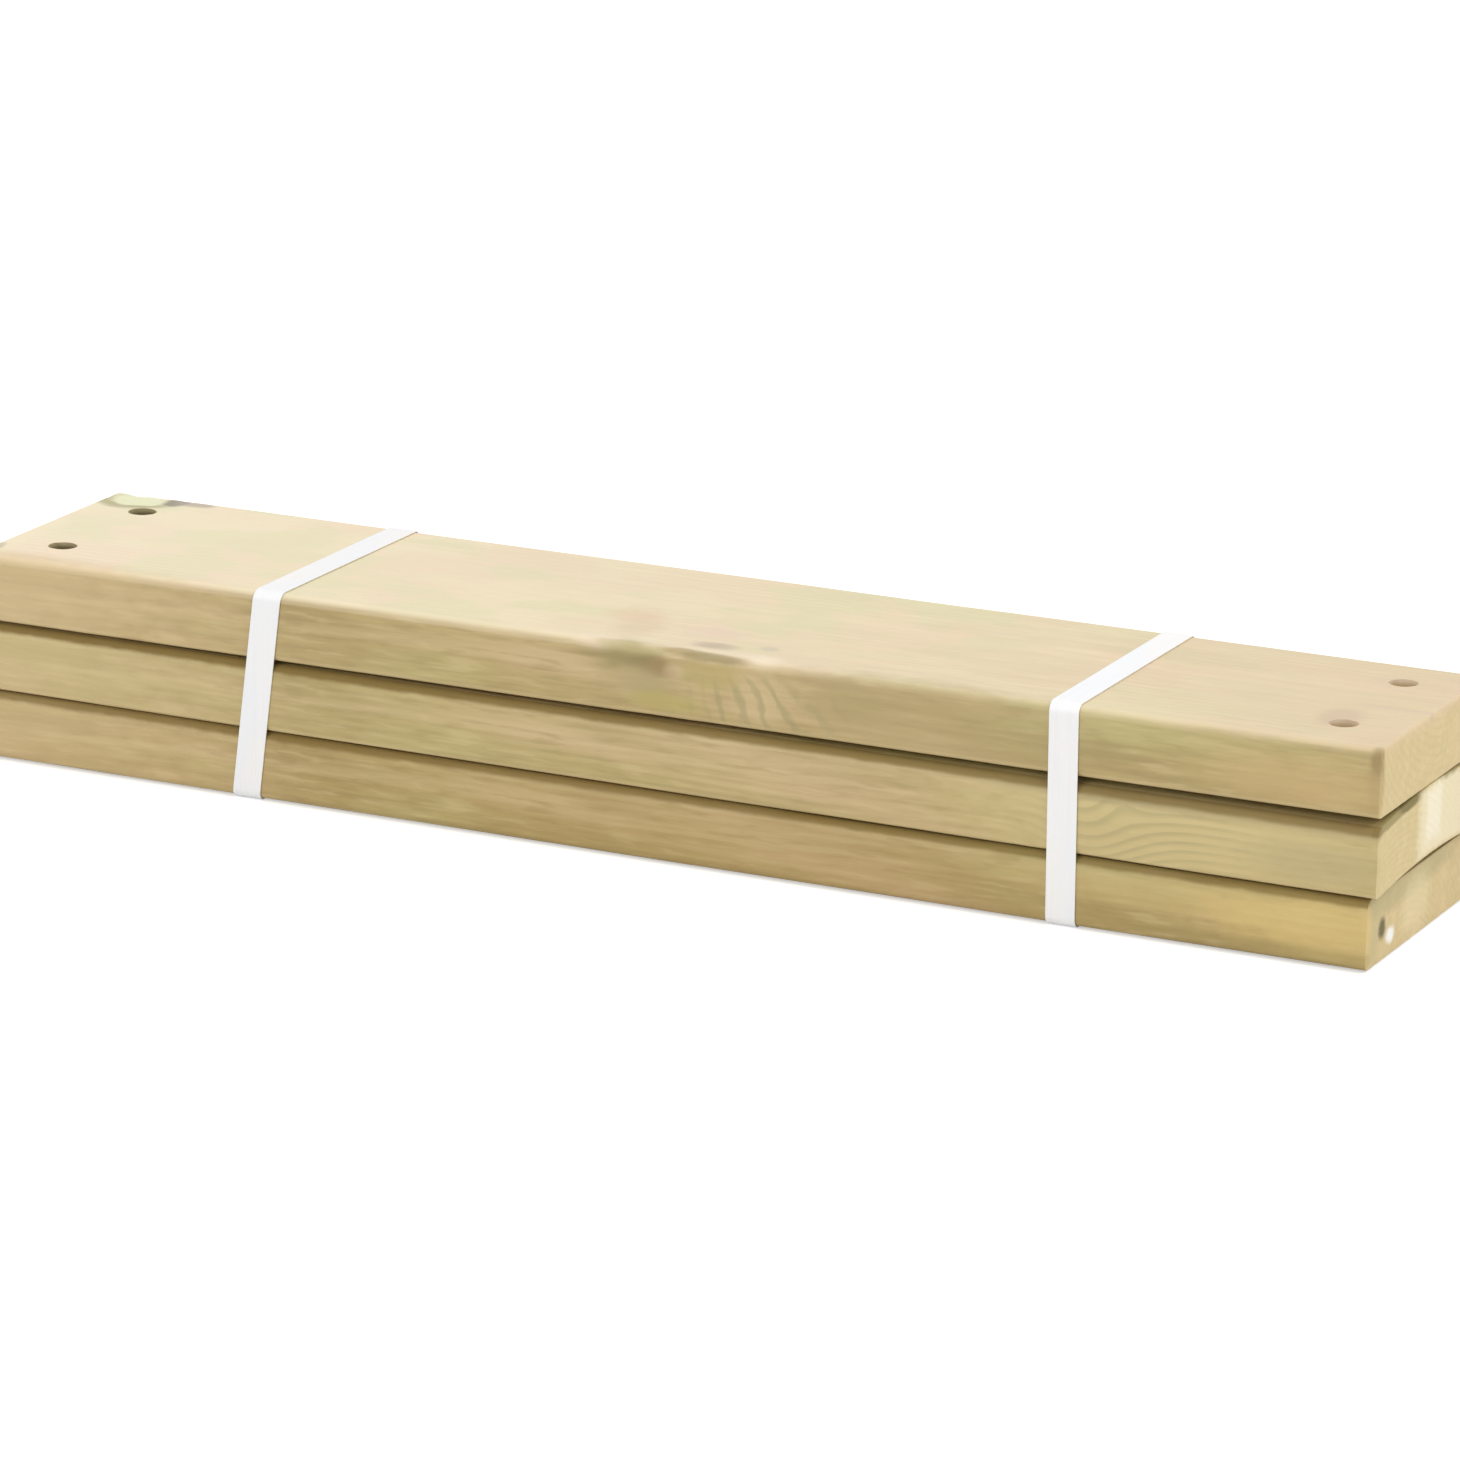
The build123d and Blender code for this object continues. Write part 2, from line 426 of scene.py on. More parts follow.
def plank_shape(long_cells):
    """A straight plank with rounded arrises and four holes, as a closed mesh about its centre."""
    ends = LENGTH / 2
    near, far = HOLE_X - PATCH, HOLE_X + PATCH
    places = [-ends, END_CELL - ends, -far, -near, *long_cells[0], near, far, ends - END_CELL, ends]
    cells = [END_CELL, SHOULDER_CELL, HOLE_CELL, *long_cells[1], HOLE_CELL, SHOULDER_CELL, END_CELL]
    x_runs = steps(places, cells)
    y_places = [-FLAT_Y, -HOLE_Y - PATCH, -HOLE_Y + PATCH, HOLE_Y - PATCH, HOLE_Y + PATCH, FLAT_Y]
    y_runs = steps(y_places, [ACROSS_CELL, HOLE_CELL, ACROSS_CELL, HOLE_CELL, ACROSS_CELL])
    xs = np.unique(np.concatenate(x_runs).round(9))
    ys = np.unique(np.concatenate(y_runs).round(9))
    zs = np.linspace(-FLAT_Z, FLAT_Z, SIDE_ROWS)
    turns = np.linspace(0, pi / 2, ARRIS_ROWS)
    edge = np.linspace(0, ARRIS, EDGE_ROWS)
    sheets = []
    # Upper and lower faces, in blocks, with a hole in four of them
    for z in (-FACE_Z, FACE_Z):
        for run_x in x_runs:
            for run_y in y_runs:
                middle_x, middle_y = run_x.mean(), run_y.mean()
                if abs(abs(middle_x) - HOLE_X) > mm or abs(abs(middle_y) - HOLE_Y) > mm:
                    sheets.append(rectangle(run_x, run_y, lambda u, v: (u, v, np.full_like(u, z))))
                    continue
                patch, rim = hole_patch(middle_x, middle_y, run_x, run_y, z)
                sheets.append(patch)
                if z > 0:
                    depths = FACE_Z * np.sin(np.linspace(-pi / 2, pi / 2, WALL_ROWS))
                    wall = [np.column_stack([rim, np.full(len(rim), depth)]) for depth in depths]
                    sheets.append(sheet(np.stack(wall)))
    # Long side faces
    for y in (-WIDTH / 2, WIDTH / 2):
        sheets.append(rectangle(xs, zs, lambda u, v: (u, np.full_like(u, y), v)))
    # Arrises, and their corners on the sawn ends
    for side_y in (-1, 1):
        for side_z in (-1, 1):
            sheets.append(rectangle(xs, turns, lambda u, v: arris_points(u, ARRIS, v, side_y, side_z)))
            for x in (-ends, ends):
                sheets.append(rectangle(edge, turns, lambda u, v: arris_points(
                    np.full_like(u, x), u, v, side_y, side_z)))
    # Sawn ends
    for x in (-ends, ends):
        sheets.append(rectangle(ys, zs, lambda u, v: (np.full_like(u, x), u, v)))
        for side in (-1, 1):
            sheets.append(rectangle(ys, side * (FLAT_Z + edge), lambda u, v: (np.full_like(u, x), u, v)))
            sheets.append(rectangle(side * (FLAT_Y + edge), zs, lambda u, v: (np.full_like(u, x), u, v)))
    return join(sheets)


# How deep the surface lies below the plank's true faces
EARLY_WEAR = 0.05 * mm  # soft wood between the dark rings
SAWN_WEAR = 0.10 * mm  # the same on the sawn ends
SAW_MARK = 0.04 * mm
SAW_PITCH = 2.2 * mm
SAW_CENTRE = (-0.09, -0.16)
END_BREAK = 0.25 * mm  # the eased edge round each sawn end
RIM_TEAR = (0.28, 0.16, 0.1)  # round a hole's rim, in millimetres: evenly, in 2 waves and in 7
KNOT_DIP = 0.12 * mm
PLANER_DEPTH = 0.05 * mm
PLANER_WAVE = 0.19
ON_EDGE = 0.05 * mm  # how near to an edge a point counts as on it


def wear(plank, points, normals):
    """How deep each point of a plank's surface is worn, planed, sawn or chipped below its true face."""
    x, y, z = points.T
    phase = ring_depth(plank, points) % 1
    late = ease(phase, 0.45, 0.85) * (1 - ease(phase, 0.93, 1))
    sawn = np.abs(normals[:, 0]) > 0.8
    depth = np.where(sawn, SAWN_WEAR, EARLY_WEAR) * (1 - late)
    # Saw marks: shallow arcs across the ends
    arc = np.hypot(y - SAW_CENTRE[0], z - SAW_CENTRE[1])
    depth += np.where(sawn, SAW_MARK * (1 + np.sin(2 * pi * arc / SAW_PITCH)), 0)
    # Eased edges of the ends and of the holes
    at_end = np.abs(x) > LENGTH / 2 - ON_EDGE
    depth += np.where(at_end & (np.abs(normals[:, 0]) < 0.95), END_BREAK, 0)
    at_face = np.abs(z) > FACE_Z - ON_EDGE
    even, long_waves, short_waves = RIM_TEAR
    for hole_x in (-HOLE_X, HOLE_X):
        for hole_y in (-HOLE_Y, HOLE_Y):
            radius = np.hypot(x - hole_x, y - hole_y)
            turn = np.arctan2(y - hole_y, x - hole_x)
            torn = even + long_waves * np.sin(2 * turn + plank.seed)
            torn += short_waves * np.sin(7 * turn + hole_x * 900)
            depth += np.where(at_face & (np.abs(radius - HOLE_RADIUS) < ON_EDGE), torn * mm, 0)
    # The wood round a knot is planed a little lower
    for knot in plank.knots:
        away = knot_distance(knot, points)
        depth += KNOT_DIP * np.exp(-((away / knot.reach) ** 2))
    for chip in plank.chips:
        away = (points - np.array(chip.at) * mm) / (np.array(chip.size) * mm)
        uneven = 0.16 * np.sin(5 * np.arctan2(away[:, 1], away[:, 0]) + 1)
        depth += chip.depth * mm * ease(np.linalg.norm(away, axis=1) + uneven, 1.15, 0.85)
    # The planed faces and arrises are never quite straight
    depth += PLANER_DEPTH * (1 + np.sin(x * 2 * pi / PLANER_WAVE + plank.seed))
    return depth


def settle(plank, points):
    """Plank axes to the row frame: bends the plank to its cup, and tilts it."""
    x, y, z = points[:, 0].copy(), points[:, 1].copy(), points[:, 2].copy()
    cup = (plank.cup[0] + plank.cup[1]) / 2 + (plank.cup[1] - plank.cup[0]) * x / LENGTH
    z += cup * (1 - (2 * y / WIDTH) ** 2)
    turn = atan(plank.tilt)
    settled = np.column_stack([x * cos(turn) - z * sin(turn), y, x * sin(turn) + z * cos(turn)])
    return settled + np.array(plank.centre)


def read_vectors(items, name):
    """One vector of every item of a mesh, as the rows of an array."""
    values = np.empty(len(items) * 3)
    items.foreach_get(name, values)
    return values.reshape(-1, 3)


def show(mesh, material, sharp_angle):
    """An object for a mesh: smooth, but for edges sharper than an angle in degrees."""
    mesh.shade_smooth()
    mesh.set_sharp_from_angle(angle=radians(sharp_angle))
    mesh.materials.append(material)
    piece = bpy.data.objects.new(mesh.name, mesh)
    bpy.context.scene.collection.objects.link(piece)
    return piece


def make_plank(plank, long_cells):
    mesh = bpy.data.meshes.new(plank.name.replace("plank", "board"))
    shape = plank_shape(long_cells)
    shape.to_mesh(mesh)
    shape.free()
    points = read_vectors(mesh.vertices, "co")
    normals = read_vectors(mesh.vertex_normals, "vector")
    points = points - normals * wear(plank, points, normals)[:, None]
    mesh.vertices.foreach_set("co", settle(plank, points).ravel())
    mesh.update()
    board = show(mesh, wood_material(plank), 40)
    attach(board, "root")
    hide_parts(plank.name)


# Materials

class Tree:
    """Short calls that add nodes to a new material or world."""

    def __init__(self, owner):
        owner.use_nodes = True
        self.owner = owner
        self.nodes = owner.node_tree.nodes
        self.links = owner.node_tree.links
        self.nodes.clear()

    def put(self, socket, value):
        if isinstance(value, bpy.types.NodeSocket):
            self.links.new(value, socket)
        else:
            socket.default_value = value

    def math(self, operation, a, b=0.0):
        node = self.nodes.new("ShaderNodeMath")
        node.operation = operation
        self.put(node.inputs[0], a)
        self.put(node.inputs[1], b)
        return node.outputs[0]

    def add(self, a, b):
        return self.math("ADD", a, b)

    def subtract(self, a, b):
        return self.math("SUBTRACT", a, b)

    def multiply(self, a, b):
        return self.math("MULTIPLY", a, b)

    def absolute(self, value):
        return self.math("ABSOLUTE", value)

    def vector(self, operation, a, b=(0, 0, 0), output=0):
        node = self.nodes.new("ShaderNodeVectorMath")
        node.operation = operation
        self.put(node.inputs[0], a)
        self.put(node.inputs[1], b)
        return node.outputs[output]

    def length(self, vector):
        return self.vector("LENGTH", vector, output=1)

    def split(self, vector):
        node = self.nodes.new("ShaderNodeSeparateXYZ")
        self.put(node.inputs[0], vector)
        return node.outputs

    def combine(self, x, y, z):
        node = self.nodes.new("ShaderNodeCombineXYZ")
        for socket, value in zip(node.inputs, (x, y, z)):
            self.put(socket, value)
        return node.outputs[0]

    def ease(self, value, low, high):
        """0 at low, 1 at high, and smooth between."""
        node = self.nodes.new("ShaderNodeMapRange")
        node.interpolation_type = "SMOOTHSTEP"
        self.put(node.inputs["Value"], value)
        self.put(node.inputs["From Min"], low)
        self.put(node.inputs["From Max"], high)
        return node.outputs[0]

    def noise(self, where, scale, detail=2.0, roughness=0.5):
        """Noise about 0.5, at this many features a metre along each axis."""
        node = self.nodes.new("ShaderNodeTexNoise")
        node.inputs["Scale"].default_value = 1
        node.inputs["Detail"].default_value = detail
        node.inputs["Roughness"].default_value = roughness
        self.put(node.inputs["Vector"], self.vector("MULTIPLY", where, scale))
        return node.outputs["Fac"]

    def sway(self, where, scale, reach, detail=2.0):
        """Noise about 0, with this reach from one extreme to the other."""
        return self.multiply(self.subtract(self.noise(where, scale, detail), 0.5), reach)

    def blend(self, share, a, b):
        node = self.nodes.new("ShaderNodeMix")
        node.data_type = "RGBA"
        self.put(node.inputs[0], share)
        self.put(node.inputs[6], a)
        self.put(node.inputs[7], b)
        return node.outputs[2]

    def layer(self, tone, tint, share, strength):
        """A tint laid over a tone, by its share of the surface and its strength."""
        return self.blend(self.multiply(share, strength), tone, tint)

    def finish(self, tone, roughness, height, relief_depth):
        """The surface shader, with its relief given as a height from 0 to 1."""
        relief = self.nodes.new("ShaderNodeBump")
        relief.inputs["Strength"].default_value = 1
        relief.inputs["Distance"].default_value = relief_depth
        self.put(relief.inputs["Height"], height)
        shader = self.nodes.new("ShaderNodeBsdfPrincipled")
        self.put(shader.inputs["Base Color"], tone)
        self.put(shader.inputs["Roughness"], roughness)
        self.put(shader.inputs["Normal"], relief.outputs[0])
        output = self.nodes.new("ShaderNodeOutputMaterial")
        self.links.new(shader.outputs[0], output.inputs[0])
        return self.owner


def colour(red, green, blue):
    return (red, green, blue, 1)


GREENISH = colour(0.53, 0.47, 0.20)
PALE = colour(0.66, 0.52, 0.27)
PINKISH = colour(0.64, 0.445, 0.25)
OLIVE = colour(0.33, 0.285, 0.13)
# Paler wood with painted sheen and light for the top face, and a painted highlight for its near arris
PALE_LIT_TOP = colour(0.93, 0.81, 0.575)
PALE_LIT_PINK = colour(0.93, 0.765, 0.56)
PALE_LIT_GREEN = colour(0.84, 0.78, 0.52)
# The sawn ends' colour, also used as painted light on the lower arrises
SAWN_AND_LIT = colour(0.80, 0.65, 0.36)
# Hole walls: pale ones with painted light, darker ones for the left, and painted shade further down
PALE_LIT_WALL = colour(0.86, 0.71, 0.53)
PALE_SHADED_WALL = colour(0.64, 0.50, 0.29)
DARK_WALL = colour(0.36, 0.305, 0.15)
DARK_SHADED_WALL = colour(0.12, 0.092, 0.035)
# Painted shade in the joints, under the plank above
JOINT_SHADE = colour(0.18, 0.112, 0.018)
KNOT_HEART = colour(0.40, 0.225, 0.095)
KNOT_RIM = colour(0.17, 0.095, 0.04)
STRAP_COOL = colour(0.90, 0.91, 0.93)
STRAP_WARM = colour(0.94, 0.92, 0.90)
STRAP_STREAK = colour(0.80, 0.81, 0.83)
WOOD_RELIEF = 0.12 * mm
STRAP_RELIEF = 0.04 * mm
KNOT_RING = 1.7 * mm


def plank_coordinates(tree, plank):
    """Place in the plank's own axes, with its cup and its tilt undone."""
    coordinates = tree.nodes.new("ShaderNodeTexCoord").outputs["Object"]
    x, y, z = tree.split(tree.vector("SUBTRACT", coordinates, plank.centre))
    slope = (plank.cup[1] - plank.cup[0]) / LENGTH
    cup = tree.add(tree.multiply(x, slope), (plank.cup[0] + plank.cup[1]) / 2)
    across = tree.multiply(y, 2 / WIDTH)
    bow = tree.subtract(1, tree.multiply(across, across))
    z = tree.subtract(z, tree.multiply(cup, bow))
    z = tree.subtract(z, tree.multiply(x, plank.tilt))
    return x, y, z


def knot_reach(tree, place, knot):
    """Distance from the knot's line."""
    away = tree.vector("SUBTRACT", place, knot.at)
    return tree.length(tree.vector("CROSS_PRODUCT", away, tuple(unit(knot.along))))


def ring_nodes(tree, plank, place, y, z):
    """The growth rings: how much latewood there is, as wear() has it, with finer wandering."""
    from_pith_y = tree.subtract(y, plank.pith[0])
    from_pith_z = tree.subtract(z, plank.pith[1])
    depth = tree.length(tree.combine(0, from_pith_y, from_pith_z))
    for amplitude, vector, phase in ripples(plank.seed):
        angle = tree.add(tree.vector("DOT_PRODUCT", place, vector, output=1), phase)
        depth = tree.add(depth, tree.multiply(tree.math("SINE", angle), amplitude))
    for knot in plank.knots:
        share = tree.math("DIVIDE", knot_reach(tree, place, knot), knot.reach)
        fall = tree.math("EXPONENT", tree.multiply(tree.multiply(share, share), -1))
        depth = tree.add(depth, tree.multiply(fall, knot.lift))
    depth = tree.add(depth, tree.sway(place, (9, 60, 60), 1.8 * mm))
    phase = tree.math("FRACT", tree.math("DIVIDE", depth, plank.ring))
    fade = tree.subtract(1, tree.ease(phase, 0.88, 1))
    return tree.multiply(tree.ease(phase, 0.3, 0.82), fade)


def patch_share(tree, place, patch, ragged, softness):
    """1 inside an ellipsoid or a box given in millimetres, 0 outside, with a ragged soft edge."""
    at = tuple(value * mm for value in patch.at)
    size = tuple(value * mm for value in patch.size)
    away = tree.vector("DIVIDE", tree.vector("SUBTRACT", place, at), size)
    if getattr(patch, "boxy", False):
        x, y, z = tree.split(tree.vector("ABSOLUTE", away))
        reach = tree.math("MAXIMUM", x, tree.math("MAXIMUM", y, z))
    else:
        reach = tree.length(away)
    reach = tree.add(reach, tree.multiply(ragged, softness))
    return tree.multiply(tree.ease(reach, 1 + softness / 2, 1 - softness / 2), patch.strength)


def fan_lines(tree, place, fan):
    """How dark a fan's lines are: thin, a little wavy, and at equal angles about its apex."""
    apex = (fan.apex_x * mm, 0, fan.apex_z * mm)
    away_x, _, away_z = tree.split(tree.vector("SUBTRACT", place, apex))
    angle = tree.math("ARCTAN2", away_x, tree.multiply(away_z, -1))
    angle = tree.add(angle, tree.sway(place, (110, 110, 90), radians(10)))
    turn = tree.subtract(angle, radians(fan.first - fan.step / 2))
    phase = tree.math("FRACT", tree.math("DIVIDE", turn, radians(fan.step)))
    line = tree.ease(tree.absolute(tree.subtract(phase, 0.5)), 0.3, 0.06)
    return tree.multiply(line, tree.ease(tree.noise(place, (70, 30, 30), 1), 0.3, 0.6))


def grain_tone(tree, plank, place, latewood, fibres, sawn):
    """The plank's own colour: its rings, broad drifts of tint, streaks and fibres."""
    early, late = colour(*plank.early), colour(*plank.late)
    contrast = tree.add(tree.multiply(sawn, 0.3), 0.25)  # the rings show most on the sawn ends
    tone = tree.blend(tree.multiply(latewood, contrast), early, late)
    for scale, shift, tint, strength in (
        ((7, 20, 30), (0, 0, 0), GREENISH, 0.75),
        ((5, 26, 40), (3, 5, 7), PINKISH, 0.65),
        ((9, 34, 60), (8, 2, 4), late, 0.5),
    ):
        drift = tree.noise(tree.vector("ADD", place, shift), scale)
        tone = tree.layer(tone, tint, tree.ease(drift, 0.47, 0.68), strength)
    streaks = tree.noise(place, (5, 210, 210), 3)
    dashes = tree.noise(tree.vector("ADD", place, (2, 1, 5)), (55, 380, 380))
    for grain, low, high, tint, strength in (
        (streaks, 0.5, 0.72, late, 0.5),
        (streaks, 0.48, 0.3, PALE, 0.4),
        (fibres, 0.5, 0.8, late, 0.25),
        (dashes, 0.52, 0.7, late, 0.4),
        (dashes, 0.47, 0.3, PALE, 0.35),
    ):
        tone = tree.layer(tone, tint, tree.ease(grain, low, high), strength)
    return tone


def paint_pale_lit_top(tree, tone, place, x, y, z):
    """The bundle's upper face: paler wood with painted sheen and light from above, most at the left; and
    a painted highlight along its near arris.
    """
    upper = tree.ease(z, FACE_Z - 2.6 * mm, FACE_Z - 0.2 * mm)
    pink = tree.ease(tree.noise(place, (18, 22, 22)), 0.42, 0.6)
    green = tree.ease(tree.noise(tree.vector("ADD", place, (1, 2, 3)), (22, 28, 28)), 0.5, 0.64)
    lit_top_tone = tree.layer(tree.blend(pink, PALE_LIT_TOP, PALE_LIT_PINK), PALE_LIT_GREEN, green, 0.8)
    # Painted sheen and light on the paler upper face, most at the left
    tone = tree.layer(tone, lit_top_tone, upper, tree.add(tree.multiply(x, -0.85), 0.72))
    # Painted highlight along the near arris, most at the left
    edge_y = tree.ease(tree.multiply(y, -1), FLAT_Y - mm, FLAT_Y)
    edge_z = tree.ease(z, FLAT_Z - 0.5 * mm, FLAT_Z + 0.5 * mm)
    arris = tree.multiply(edge_y, edge_z)
    return tree.layer(tone, PALE_LIT_PINK, arris, tree.add(tree.multiply(x, -0.5), 0.18))


def add_marks(tree, plank, tone, place, latewood, ragged):
    """The plank's stains, and the places where its rings show more."""
    for stain in plank.stains:
        share = patch_share(tree, place, stain, ragged, stain.softness)
        tone = tree.blend(share, tone, colour(*stain.colour))
    for figure in plank.figures:
        share = patch_share(tree, place, figure, ragged, 1.2)
        tone = tree.layer(tone, OLIVE, share, latewood)
    for fan in plank.fans:
        share = patch_share(tree, place, fan, ragged, 0.9)
        tone = tree.layer(tone, OLIVE, share, fan_lines(tree, place, fan))
    return tone


def draw_knots(tree, plank, tone, place, latewood):
    """Each knot that has a radius: a halo, and a heart with its own rings and a dark pith."""
    for knot in plank.knots:
        if not knot.radius:
            continue
        reach = tree.add(knot_reach(tree, place, knot), tree.sway(place, (130, 130, 130), 5 * mm))
        halo = tree.ease(reach, knot.radius * 2.4, knot.radius)
        heart = tree.ease(reach, knot.radius * 1.05, knot.radius * 0.8)
        rings = tree.ease(tree.math("SINE", tree.multiply(reach, 2 * pi / KNOT_RING)), -0.2, 1)
        pith = tree.ease(reach, knot.radius * 0.3, 0)
        tone = tree.layer(tone, KNOT_HEART, tree.multiply(halo, latewood), 0.7)
        tone = tree.layer(tone, KNOT_HEART, heart, 0.75)
        tone = tree.layer(tone, KNOT_RIM, tree.multiply(heart, rings), 0.5)
        tone = tree.layer(tone, KNOT_RIM, pith, 0.8)
    return tone


def drilled_walls(tree, tone, x, y, z, ragged):
    """The walls of the holes: pale with painted light, with painted shade further down, and darker at the
    left; and where they are.
    """
    hole_x = tree.subtract(tree.absolute(x), HOLE_X)
    hole_y = tree.subtract(tree.absolute(y), HOLE_Y)
    from_hole = tree.length(tree.combine(hole_x, hole_y, 0))
    in_hole = tree.ease(from_hole, HOLE_RADIUS + 0.7 * mm, HOLE_RADIUS + 0.15 * mm)
    level = tree.add(z, tree.multiply(ragged, mm))
    # Painted shade further down the holes
    depth_shade = tree.ease(level, FACE_Z - 0.6 * mm, FACE_Z - 2.4 * mm)
    darkening = tree.ease(x, LENGTH / 4, -LENGTH / 4)
    pale_wall = tree.blend(depth_shade, PALE_LIT_WALL, PALE_SHADED_WALL)
    dark_wall = tree.blend(depth_shade, DARK_WALL, DARK_SHADED_WALL)
    return tree.layer(tone, tree.blend(darkening, pale_wall, dark_wall), in_hole, 0.85), in_hole


def wood_material(plank):
    """Planed pine in three dimensions: rings, fibres, knots and stains, by place in the plank."""
    tree = Tree(bpy.data.materials.new("pine_" + plank.name))
    x, y, z = plank_coordinates(tree, plank)
    place = tree.combine(x, y, z)
    latewood = ring_nodes(tree, plank, place, y, z)
    fibres = tree.noise(place, (22, 900, 900), 3, 0.6)
    ragged = tree.sway(place, (110, 240, 240), 0.8, 3)
    normal_x = tree.split(tree.nodes.new("ShaderNodeNewGeometry").outputs["Normal"])[0]
    sawn = tree.ease(tree.absolute(normal_x), 0.7, 0.9)
    tone = grain_tone(tree, plank, place, latewood, fibres, sawn)
    # The top plank's upper face: paler wood with painted light, and a painted arris highlight
    if plank is TOP:
        tone = paint_pale_lit_top(tree, tone, place, x, y, z)
    tone = tree.layer(tone, SAWN_AND_LIT, sawn, 0.6)
    tone = add_marks(tree, plank, tone, place, latewood, ragged)
    # The joints between the planks: painted shade on the upper arrises, and painted light on the lower
    # ones
    at_side = tree.ease(tree.absolute(y), FLAT_Y - mm, FLAT_Y + 0.5 * mm)
    at_side = tree.multiply(at_side, tree.subtract(1, tree.multiply(sawn, 0.7)))
    roughness = tree.add(tree.multiply(fibres, 0.2), 0.46)
    if plank is not TOP:
        left, right = plank.arris_shade
        dark = tree.add(tree.multiply(x, (right - left) / LENGTH), (left + right) / 2)
        level = tree.add(z, tree.multiply(ragged, 1.5 * mm))
        # Painted shade on the upper arrises, below the plank above
        shaded_arris = tree.multiply(tree.ease(level, FACE_Z - 4 * mm, FACE_Z - 1.9 * mm), at_side)
        darkening = tree.multiply(shaded_arris, dark)
        tone = tree.blend(darkening, tone, JOINT_SHADE)
        roughness = tree.add(roughness, tree.multiply(darkening, 0.4))
    if plank is not BOTTOM:
        # Painted light on the lower arrises, against the shade of the joint below them
        lit_lower_arris = tree.ease(z, 3 * mm - FACE_Z, 1.2 * mm - FACE_Z)
        tone = tree.layer(tone, SAWN_AND_LIT, tree.multiply(lit_lower_arris, at_side), 0.5)
    tone = draw_knots(tree, plank, tone, place, latewood)
    tone, in_hole = drilled_walls(tree, tone, x, y, z, ragged)
    roughness = tree.add(roughness, tree.multiply(tree.math("MAXIMUM", in_hole, sawn), 0.2))
    height = tree.add(tree.multiply(fibres, 0.6), tree.multiply(latewood, 0.4))
    return tree.finish(tone, roughness, height, WOOD_RELIEF)


def strap_material():
    """Embossed white polypropylene: faint streaks of tint along it, and a satin gloss."""
    tree = Tree(bpy.data.materials.new("white_strap"))
    place = tree.nodes.new("ShaderNodeTexCoord").outputs["Object"]
    cloud = tree.noise(place, (60, 25, 25))
    streak = tree.noise(place, (900, 20, 20))
    tone = tree.blend(tree.ease(cloud, 0.35, 0.7), STRAP_COOL, STRAP_WARM)
    tone = tree.layer(tone, STRAP_STREAK, tree.ease(streak, 0.45, 0.8), 0.25)
    grain = tree.noise(place, (2500, 2500, 2500))
    roughness = tree.add(tree.multiply(grain, 0.16), 0.36)
    return tree.finish(tone, roughness, tree.add(grain, streak), STRAP_RELIEF)


# Straps

@dataclass
class Strap:
    """One strap: its node, the place of its foot, and the height of its weld's lower end."""

    name: str
    foot_x: float
    weld_height: float


STRAPS = [
    Strap("strap_left", mounts["strap_left_underside"]["pos_m"][0], 47 * mm),
    Strap("strap_right", mounts["strap_right_underside"]["pos_m"][0], 41 * mm),
]
BAND_CELL = 0.75 * mm
ACROSS_CELLS = 24
ARC_ROWS = 10
EMBOSS = 0.05 * mm
EMBOSS_PITCH = 1.5 * mm
EMBOSSED_SHARE = 0.86  # of the strap's width; the rest is a plain border
PRESS_DEPTH = 0.16 * mm
PRESS_PITCH = 2.4 * mm
PRESSED_PART = (0.1, 0.8)  # of the weld's length, from its upper end
BAND_EDGE = 0.12 * mm  # how much the strap's edges are eased


def run(start, end):
    """Points from start up to but not at end, a cell apart."""
    start, end = np.array(start), np.array(end)
    count = max(1, round(np.linalg.norm(end - start) / BAND_CELL))
    return start + np.linspace(0, 1, count, endpoint=False)[:, None] * (end - start)


def loop_line(inner_top):
    """The loop's inner line, from the middle of its underside, and its outward directions."""
    radius = ARRIS + STRAP_CLEARANCE
    flat_y = WIDTH / 2 + STRAP_CLEARANCE - radius
    flat_z = (inner_top - STRAP_THICKNESS) / 2 - radius
    centre = np.array([STACK_Y, (inner_top + STRAP_THICKNESS) / 2])
    foot = centre - np.array([0, flat_z + radius])
    line, outward, start = [], [], foot
    for number, (side_y, side_z) in enumerate([(-1, -1), (-1, 1), (1, 1), (1, -1)]):
        turn = radians(270 - 90 * number) + np.linspace(0, -pi / 2, ARC_ROWS)
        away = np.column_stack([np.cos(turn), np.sin(turn)])
        arc = centre + np.array([side_y * flat_y, side_z * flat_z]) + radius * away
        straight = run(start, arc[0])
        line += [straight, arc[:-1]]
        outward += [np.repeat(away[:1], len(straight), axis=0), away[:-1]]
        start = arc[-1]
    straight = run(start, foot)
    line.append(straight)
    outward.append(np.repeat([[0, -1.0]], len(straight), axis=0))
    return np.concatenate(line), np.concatenate(outward)


def tail_line(weld_height):
    """The line of the strap's outer end, down the back of the loop, and its outward directions."""
    face = STACK_Y + WIDTH / 2 + STRAP_CLEARANCE + STRAP_THICKNESS
    line = run((face, weld_height + WELD_LENGTH), (face, weld_height - TAIL_LENGTH))
    past_weld = np.clip((weld_height - line[:, 1]) / TAIL_LENGTH, 0, 1)
    line[:, 0] += TAIL_LIFT * past_weld ** 2
    return line, np.repeat([[1.0, 0.0]], len(line), axis=0)


